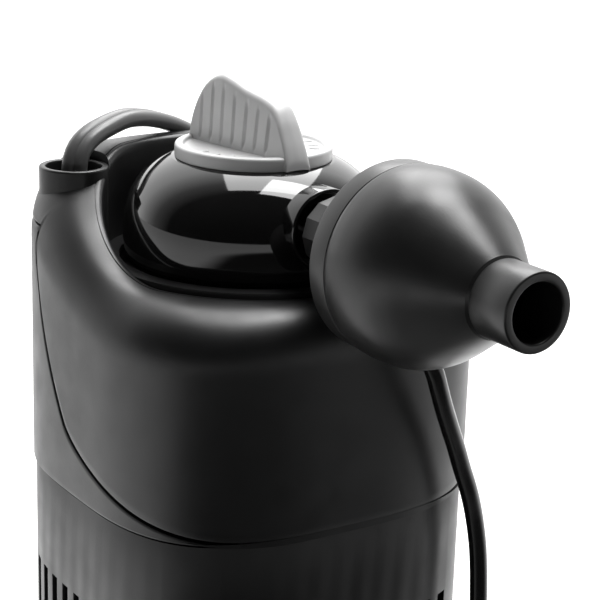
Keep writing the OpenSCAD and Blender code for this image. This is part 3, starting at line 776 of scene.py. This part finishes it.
def groove_depth(y, z, top):
    """How deep a groove in the grip's side is at a point."""
    deep = 0.0
    for k in range(GROOVES):
        off = abs(y - (LAST_GROOVE_Y - GROOVE_STEP * k)) / GROOVE_HALF
        if off < 1:
            deep = GROOVE_DEPTH * (1 - off * off)
    return deep * smooth_step((top - 1.6 - z) / 1.4) * smooth_step((z - 11.6) / 0.8)


def grip_section(y, top):
    """One upright slice of the grip, from its right foot over the top to its left foot."""
    half, low = grip_half(y), GRIP_LOW
    rows, corner = 16, 1.3
    narrow = grip_taper(y) / GRIP_TALL
    side = []
    for k in range(rows + 1):
        z = low + max(0.0, top - corner - low) * k / rows
        side.append((half * (1 - narrow * (z - low)) - groove_depth(y, z, top), z))
    half *= 1 - narrow * max(0.0, top - corner - low)
    for k in range(1, 6):
        a = math.pi / 2 * k / 5
        reach = min(corner, half * 0.8, max(0.05, top - low))
        side.append((half - reach + reach * math.cos(a), top - reach + reach * math.sin(a)))
    ridge = [(half * s, top + 0.25 * (1 - abs(s))) for s in (0.15, 0.08)]
    right = side + ridge
    return [(x, y, OUTLET_Z + z) for x, z in right] + [(-x, y, OUTLET_Z + z) for x, z in reversed(right)]


def make_knob():
    """The disc with its raised rim, the stem under it, the grip, and three marks each side."""
    low, flat, top = DISC_Z + 0.35, DISC_Z + 2.3, DISC_Z + 3
    disc = rounded([(0.01, low, 0), (KNOB_R, low, 0.2), (KNOB_R, top, 0.7), (KNOB_R - 1.6, top, 0.6),
                    (KNOB_R - 1.9, flat, 0.3), (0.01, flat, 0)], closed=False)
    stem = [(4, OUTLET_Z - 1), (4, low + 0.2)]
    line = even(spline([Vector((y, z, 0)) for y, z in GRIP_SIDE], 12), 0.2)
    grip = skin([grip_section(p.x, p.y) for p in line], closed_rings=False)
    marks = []
    for side in (-1, 1):
        for k in range(3):
            a = side * math.radians(52 + 17 * k)
            marks.append(tick(a, KNOB_R - 4.6, KNOB_R - 2.6, 0.28, flat))
    parts = [lathe_solid(disc, steps=128), lathe_solid(stem, steps=48), grip, *marks]
    knob = build("flow_knob_shell", parts, sharp_angle=40)
    place(knob, "knob", KNOB, "knob", "flow_knob")


def tick(a, start, stop, half, z):
    """A short raised bar that points outwards on the knob's disc."""
    out, across = Vector((math.sin(a), -math.cos(a), 0)), Vector((math.cos(a), math.sin(a), 0))
    rings = []
    for height, shrink in ((-0.2, 0), (0.16, 0), (0.26, 0.12)):
        ring = [out * far + across * side for far, side in (
            (start + shrink, -half + shrink), (stop - shrink, -half + shrink),
            (stop - shrink, half - shrink), (start + shrink, half - shrink))]
        rings.append([(p.x, p.y, z + height) for p in ring])
    return skin(rings, caps=True)


# ---------------------------------------------------------------- container and sponge

SLOT_HALF, SLOT_PITCH, SLOTS_EACH_WAY = 1.2, 5, 5
SLOT_Z = (14, 96)


def outline_crossing(value, side, inset):
    """The outline's point on one of four sides, where its cross coordinate has a value."""
    low, high = -math.pi / 4, math.pi / 4
    for _ in range(40):
        middle = (low + high) / 2
        turned = middle + side * math.pi / 2
        if math.sin(middle) * outline_r(turned, inset) < value:
            low = middle
        else:
            high = middle
    turned = low + side * math.pi / 2
    return spot(turned, outline_r(turned, inset), 0)[:2]


def slotted_ring(inset):
    """Outline points round the container, in order, and whether the stretch after each is a slot."""
    points, is_slot = [], []
    edges = [k * SLOT_PITCH + s * SLOT_HALF
             for k in range(-SLOTS_EACH_WAY, SLOTS_EACH_WAY + 1) for s in (-1, 1)]
    corner_steps = 14
    for side in range(4):
        for i, value in enumerate(edges):
            points.append(outline_crossing(value, side, inset))
            is_slot.append(i % 2 == 0)
        here = outline_crossing(edges[-1], side, inset)
        there = outline_crossing(edges[0], (side + 1) % 4, inset)
        a, b = math.atan2(here[0], -here[1]), math.atan2(there[0], -there[1])
        b += 2 * math.pi if b < a else 0
        for k in range(1, corner_steps):
            turned = a + (b - a) * k / corner_steps
            points.append(spot(turned, outline_r(turned, inset), 0)[:2])
            is_slot.append(False)
    return points, is_slot


def make_container():
    """The basket with its slots, as rings of the outline joined level by level, and its lip."""
    top, floor_t, inset = SPLIT_Z - 0.4, 2.5, 0.5
    outside, is_slot = slotted_ring(inset)
    inside, _ = slotted_ring(inset + WALL)
    low_edge = [(x * 0.985, y * 0.985) for x, y in outside]
    n = len(outside)
    levels = [(low_edge, 0), (outside, 0.7), (outside, SLOT_Z[0]), (outside, SLOT_Z[1]), (outside, top),
              (inside, top), (inside, SLOT_Z[1]), (inside, SLOT_Z[0]), (inside, floor_t)]
    points = [(x, y, z) for ring, z in levels for x, y in ring]
    faces = []
    out_low, out_high, in_high, in_low = 2, 3, 6, 7
    for level in range(len(levels) - 1):
        for j in range(n):
            if level in (out_low, in_high) and is_slot[j]:
                continue
            j2 = (j + 1) % n
            faces.append((level * n + j, level * n + j2, (level + 1) * n + j2, (level + 1) * n + j))
    for j in range(n):
        if is_slot[j]:
            corners = [level * n + j for level in (out_low, out_high, in_high, in_low)]
            ahead = [level * n + (j + 1) % n for level in (out_low, out_high, in_high, in_low)]
            faces += [tuple(corners), (ahead[0], ahead[3], ahead[2], ahead[1]),
                      (corners[0], corners[3], ahead[3], ahead[0]),
                      (corners[1], ahead[1], ahead[2], corners[2])]
    faces += [tuple(range(n - 1, -1, -1)), tuple(range(8 * n, 9 * n))]
    lip_section = ((2.3, 109), (2.3, 119.4), (2.7, 120), (3.6, 120), (3.9, 119.7), (3.9, 109))
    columns = 120
    angles = [2 * math.pi * k / columns for k in range(columns)]
    lip = skin([[spot(a, outline_r(a, far), z) for far, z in lip_section] for a in angles],
               joined_ends=True)
    piece = build("container_shell", [(points, faces), lip], bevel=0.3, sharp_angle=50)
    place(piece, "container", CASING, "casing", "container")


def make_sponge():
    """The foam block, with slightly uneven sides, soft edges and a hole for the intake tube."""
    low, high, inset, hole = 2.8, 103.6, 5.2, 9.0
    columns, rows = 180, 60
    rings = []
    for k in range(columns):
        a = 2 * math.pi * k / columns
        section = []
        for i in range(rows + 1):
            z = low + (high - low) * i / rows
            edge = 1.5 * (1 - min(1.0, (z - low) / 2, (high - z) / 2)) ** 2
            where = Vector(spot(a, outline_r(a), z)) * 0.35
            section.append((outline_r(a, inset + edge) + 0.3 * noise.noise(where) - 0.1, z))
        section += [(22, high + 0.3), (hole + 0.3, high), (hole, high - 0.4), (hole, low)]
        rings.append([spot(a, r, z) for r, z in section])
    piece = build("sponge_block", [skin(rings, joined_ends=True)], sharp_angle=70)
    place(piece, "container", FOAM, "foam", "sponge")


# ---------------------------------------------------------------- cups, plug, small pieces

def make_cups():
    """Four cups, each a button, a neck through the bracket and a thin bell."""
    cup_r, deep, half_apart = 9.5, 7.2, 12
    section = rounded([(0.01, -3.6, 0), (3.6, -3.6, 0.4), (3.6, -2.8, 0.2), (2.4, -2.65, 0.1),
                       (2.4, 0.1, 0.3), (4.6, 0.3, 1.5), (6.6, 1.6, 2), (9, 5.2, 1.5), (cup_r, deep, 0),
                       (8.7, deep, 0), (5.8, 3.9, 2), (0.01, 3.0, 0)], closed=False)
    neck_y = span("suction_cups", 1)[1] - deep
    heights = [span("suction_cups", 2)[0] + cup_r, span("suction_cups", 2)[1] - cup_r]
    parts = [lathe([(r, -far) for r, far in section], 64, (s * half_apart, neck_y, z), "y", closed=False)
             for s in (-1, 1) for z in heights]
    piece = build("suction_cup_set", parts, sharp_angle=50)
    place(piece, "bracket", CLEAR, "cup", "suction_cups")


PLUG_AT, PLUG_TURN, PLUG_T = (54, 66), math.pi, 13.8
PLUG_POWER = 2 / 3.6
RIB_DEEP, RIB_RATE, GRIP_DEEP = 0.35, 2.4, 0.7


def plug_place(x, y, z):
    """A point of the plug, drawn with its neck at the origin, where the plug lies."""
    c, s = math.cos(PLUG_TURN), math.sin(PLUG_TURN)
    return (PLUG_AT[0] + x * c - y * s, PLUG_AT[1] + x * s + y * c, z)


def make_plug():
    """Flat two-pin plug: a ribbed neck that widens into a body with a finger hollow on each side."""
    # Distance along the plug, half width, half height
    stations = [(-5.7, 3.0, 2.6), (-5.2, 3.6, 3.2), (-2, 4.2, 3.7), (1.5, 5.0, 4.3), (5, 7.2, 5.2),
                (9, 10.8, 6.1), (13, 13.4, 6.6), (18, 14.2, 6.8), (24, 14.4, 6.9), (30, 15.6, 6.9),
                (33, 16.2, 6.9), (33.6, 16.0, 6.7), (33.8, 15.4, 6.2)]
    neck_end, grip_start, grip_end, sides = 5, 13, 30, 48
    rings = []
    for far, half, tall in spline([Vector(s) for s in stations], 5):
        rib = RIB_DEEP * max(0.0, math.sin((far + 6) * RIB_RATE)) if far < neck_end else 0.0
        grip = GRIP_DEEP * smooth_step((far - grip_start) / 6) * smooth_step((grip_end - far) / 6)
        ring = []
        for k in range(sides):
            a = 2 * math.pi * k / sides
            c, s = math.cos(a), math.sin(a)
            x = math.copysign(abs(c) ** PLUG_POWER, c) * (half - rib)
            z = math.copysign(abs(s) ** PLUG_POWER, s) * (tall - rib * 0.7 - grip * abs(s))
            ring.append(plug_place(x, far, PLUG_T / 2 + z))
        rings.append(ring)
    piece = build("mains_plug_body", [skin(rings, caps=True)], sharp_angle=50)
    return place(piece, "head", RUBBER, "rubber", "plug_body")


def make_coil_ties():
    """A small twist tie round each coil."""
    half_wide, half_thick = 1.3, 0.25
    strip = [(half_wide * x, half_thick * y) for x, y in ((-1, -1), (1, -1), (1, 1), (-1, 1))]
    ties = []
    for name, centre, mid, half, tall, angle, body in (
            ("flex_tie", FLEX_COIL_AT, 28.5, 8.0, 11.4, math.radians(12), "head"),
            ("hose_tie", HOSE_COIL_AT, 19.8, 4.0, 7.6, math.radians(150), "diffuser")):
        out = Vector((math.cos(angle), math.sin(angle), 0))
        across = Vector((-math.sin(angle), math.cos(angle), 0))
        loop = rounded([(mid - half, 0.35, 1.2), (mid + half, 0.35, 1.2), (mid + half, tall, 1.6),
                        (mid - half, tall, 1.6)], 5)
        rings = []
        for far, z in loop:
            here = Vector((*centre, 0)) + out * far + Vector((0, 0, z))
            away = (out * (far - mid) + Vector((0, 0, z - tall / 2))).normalized()
            rings.append([tuple(here + across * x + away * y) for x, y in strip])
        tie = build(name, [skin(rings, joined_ends=True)], sharp_angle=50)
        place(tie, body, RUBBER, "rubber")
        ties.append(tie)
    return ties


# CAD nodes that show as they are, and what each is made of
KEPT_NODES = {
    "inlet_plate": INNER, "intake_tube": INNER, "motor_case": INNER, "motor_lid": INNER, "rotor_can": INNER,
    "pump_seat": INNER, "impeller_chamber": INNER, "flow_shutter": INNER, "bracket_rail": CASING,
    "bracket": CASING, "swivel_retainer": CASING, "outlet_tube": DOME, "air_nipple": DIFFUSER,
    "cable_gland": RUBBER, "lower_bush": RUBBER, "upper_bush": RUBBER, "swivel_seal": RUBBER,
    "outlet_seal": RUBBER, "knob_seal": RUBBER, "casing_screws": STEEL, "stator_core": STEEL,
    "plug_pins": PINS, "stator_coils": COPPER, "rotor_shaft": CERAMIC, "impeller": CERAMIC,
    "rotor_magnet": MAGNET, "air_intake_cap": KNOB,
}


def dress_kept_nodes():
    """Gives the CAD nodes that stay their material and softened edges."""
    for name, material in KEPT_NODES.items():
        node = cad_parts[name]
        node.data.materials.clear()
        node.data.materials.append(material)
        soft = node.modifiers.new("soft_edges", "BEVEL")
        soft.width, soft.segments, soft.limit_method = 0.2 * MM, 2, "ANGLE"
        soft.angle_limit = math.radians(40)
        soft.harden_normals = False


# ---------------------------------------------------------------- floor and light

# Which way the studio is white, and the middle and edge of a dark patch painted on the floor as shade for
# the object's front to reflect. These are in metres.
WHITE_WAY = (0.34, 0.94, 0)
PAINTED_DARK_PATCH_AT = (-0.10, -0.52, 0)
DARK_PATCH_TO, PAPER_FROM = 0.38, 0.62
FLOOR_HALF = 12


def make_floor():
    """White paper with a painted dark patch in front of the object, standing in for the dark room that its
    front reflects; the paper glows a little to stay evenly white.
    """
    corners = [(FLOOR_HALF * x, FLOOR_HALF * y, 0) for x, y in ((-1, -1), (1, -1), (1, 1), (-1, 1))]
    mesh = bpy.data.meshes.new("floor")
    mesh.from_pydata(corners, [], [(0, 1, 2, 3)])
    floor = bpy.data.objects.new("floor", mesh)
    bpy.context.scene.collection.objects.link(floor)
    material, tree, bsdf = new_material("paper_with_painted_dark_patch")
    where = tree.nodes.new("ShaderNodeTexCoord")
    away = tree.nodes.new("ShaderNodeVectorMath")
    away.operation = "DISTANCE"
    away.inputs[1].default_value = PAINTED_DARK_PATCH_AT
    share = tree.nodes.new("ShaderNodeMapRange")
    share.interpolation_type = "SMOOTHSTEP"
    share.inputs["From Min"].default_value = DARK_PATCH_TO
    share.inputs["From Max"].default_value = PAPER_FROM
    # Painted shade: the ramp's dark end is the painted dark patch that the object's front reflects, and its
    # light end is the even white paper.
    ramp = tree.nodes.new("ShaderNodeValToRGB")
    ramp.color_ramp.elements[0].color = (0.03, 0.03, 0.03, 1)
    ramp.color_ramp.elements[1].color = (0.9, 0.9, 0.9, 1)
    tree.links.new(where.outputs["Object"], away.inputs[0])
    tree.links.new(away.outputs["Value"], share.inputs["Value"])
    tree.links.new(share.outputs["Result"], ramp.inputs["Fac"])
    tree.links.new(ramp.outputs["Color"], bsdf.inputs["Base Color"])
    # Only the paper part glows, to stay evenly white; the painted dark patch does not glow.
    tree.links.new(share.outputs["Result"], bsdf.inputs["Emission Strength"])
    bsdf.inputs["Emission Color"].default_value = (0.5, 0.5, 0.5, 1)
    bsdf.inputs["Roughness"].default_value = 0.8
    floor.data.materials.append(material)


def softbox(name, at, toward, size, power, turn):
    """A rectangular lamp, with its place and target in metres, turned about the way it faces."""
    data = bpy.data.lights.new(name, "AREA")
    data.shape, data.size, data.size_y = "RECTANGLE", *size
    data.energy = power
    lamp = bpy.data.objects.new(name, data)
    lamp.location = at
    lamp.rotation_euler = (Vector(toward) - Vector(at)).to_track_quat("-Z", "Y").to_euler()
    lamp.rotation_euler.rotate_axis("Z", turn)
    bpy.context.scene.collection.objects.link(lamp)


def make_world():
    """A studio that is white behind the object, dim overhead and dark in front."""
    world = bpy.data.worlds.new("studio")
    bpy.context.scene.world = world
    world.use_nodes = True
    tree = world.node_tree
    where = tree.nodes.new("ShaderNodeTexCoord")
    toward_white = tree.nodes.new("ShaderNodeVectorMath")
    toward_white.operation = "DOT_PRODUCT"
    toward_white.inputs[1].default_value = WHITE_WAY
    ramp = tree.nodes.new("ShaderNodeValToRGB")
    stops = ramp.color_ramp.elements
    stops[0].position, stops[0].color = 0.0, (0.012, 0.012, 0.012, 1)
    stops[1].position, stops[1].color = 0.65, (1.0, 1.0, 1.0, 1)
    middle = stops.new(0.3)
    middle.color = (0.25, 0.25, 0.25, 1)
    tree.links.new(where.outputs["Generated"], toward_white.inputs[0])
    tree.links.new(toward_white.outputs["Value"], ramp.inputs["Fac"])
    tree.links.new(ramp.outputs["Color"], tree.nodes["Background"].inputs["Color"])
    tree.nodes["Background"].inputs["Strength"].default_value = 1.7


# ---------------------------------------------------------------- the whole object

make_camera()
flex, flex_line = make_flex()
hose, hose_line = make_hose()
plug = make_plug()
ties = make_coil_ties()
make_casing("hood_shell", hood_section, "hood_casing")
make_casing("rear_shell", rear_section, "rear_casing")
make_collar()
make_dome()
make_diffuser_rear()
make_diffuser_cone()
make_knob()
make_container()
make_sponge()
make_cups()
dress_kept_nodes()

make_floor()
make_world()
softbox("top_softbox", at=(0.37, 0.40, 0.78), toward=(0.37, 0.40, 0), size=(0.46, 1.06), power=9,
        turn=-CAMERA_HEADING)
softbox("zenith_softbox", at=(0.20, -0.04, 0.76), toward=(0.06, -0.02, 0.16), size=(0.3, 0.26), power=2.4,
        turn=-CAMERA_HEADING)
bpy.context.scene.view_settings.view_transform = "Standard"
